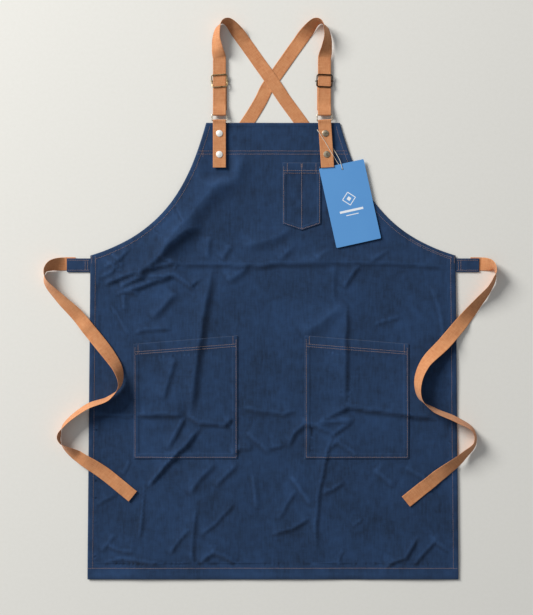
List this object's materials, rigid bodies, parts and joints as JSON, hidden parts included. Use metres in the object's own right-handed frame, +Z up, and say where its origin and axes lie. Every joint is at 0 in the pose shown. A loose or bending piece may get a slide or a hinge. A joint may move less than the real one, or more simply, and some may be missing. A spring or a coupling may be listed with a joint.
{
  "type": "cross-back bib apron",
  "caption": "Denim bib apron laid flat, with crossed webbing shoulder straps, sliders, snap-off tabs, patch pockets, waist ties and a card hang tag.",
  "frame": {"origin": "on the surface that the apron lies on, under the middle of its overall length, on the panel's centre line", "axes": "+Y from the hem to the shoulder straps, +X to the right as seen from the front, +Z up out of the front face"},
  "size_m": [0.8558, 1.0557, 0.0302],
  "materials": {
    "denim": "indigo cotton twill",
    "webbing": "tan cotton herringbone tape",
    "antique_brass": "antique brass plating, rubbed on the high edges",
    "card": "printed matt card",
    "twine": "twisted cotton string"
  },
  "bodies": {
    "apron": {"apron_panel": "denim", "bib_facing": "denim", "chest_pocket": "denim", "left_pocket": "denim", "right_pocket": "denim", "left_waist_tab": "denim", "right_waist_tab": "denim", "left_waist_tie": "webbing", "right_waist_tie": "webbing", "left_shoulder_strap": "webbing", "right_shoulder_strap": "webbing", "left_upper_snap_post": "antique_brass", "left_upper_snap_stud": "antique_brass", "left_lower_snap_post": "antique_brass", "left_lower_snap_stud": "antique_brass", "right_upper_snap_post": "antique_brass", "right_upper_snap_stud": "antique_brass", "right_lower_snap_post": "antique_brass", "right_lower_snap_stud": "antique_brass"},
    "left_slider": {"left_slider_frame": "antique_brass", "left_slider_bar": "antique_brass", "left_strap_end": "webbing"},
    "left_ring": {"left_ring": "antique_brass"},
    "left_tab": {"left_snap_tab": "webbing", "left_upper_snap_cap": "antique_brass", "left_upper_snap_socket": "antique_brass", "left_lower_snap_cap": "antique_brass", "left_lower_snap_socket": "antique_brass"},
    "right_slider": {"right_slider_frame": "antique_brass", "right_slider_bar": "antique_brass", "right_strap_end": "webbing"},
    "right_ring": {"right_ring": "antique_brass"},
    "right_tab": {"right_snap_tab": "webbing", "right_upper_snap_cap": "antique_brass", "right_upper_snap_socket": "antique_brass", "right_lower_snap_cap": "antique_brass", "right_lower_snap_socket": "antique_brass", "tag_string": "twine"},
    "tag": {"hang_tag": "card"}
  },
  "joints": [
    {"name": "left_slider_slide", "type": "slide", "parent": "apron", "child": "left_slider", "axis": [0, 1, 0], "range_m": [-0.03, 0.03]},
    {"name": "left_ring_swing", "type": "hinge", "parent": "apron", "child": "left_ring", "pos_m": [-0.101, 0.34845, 0.0072], "axis": [-1, 0, 0], "range_deg": [0, 30]},
    {"name": "left_tab_lift", "type": "hinge", "parent": "left_ring", "child": "left_tab", "pos_m": [-0.101, 0.33675, 0.0072], "axis": [-1, 0, 0], "range_deg": [0, 130]},
    {"name": "right_slider_slide", "type": "slide", "parent": "apron", "child": "right_slider", "axis": [0, 1, 0], "range_m": [-0.03, 0.03]},
    {"name": "right_ring_swing", "type": "hinge", "parent": "apron", "child": "right_ring", "pos_m": [0.097, 0.34845, 0.0072], "axis": [-0.9995, -0.0332, 0], "range_deg": [0, 30]},
    {"name": "right_tab_lift", "type": "hinge", "parent": "right_ring", "child": "right_tab", "pos_m": [0.097, 0.33675, 0.0072], "axis": [-0.9978, -0.0663, 0], "range_deg": [0, 130]},
    {"name": "tag_swivel", "type": "hinge", "parent": "right_tab", "child": "tag", "pos_m": [0.1308, 0.24575, 0.0058], "axis": [0, 0, 1], "range_deg": [-30, 30]}
  ]
}
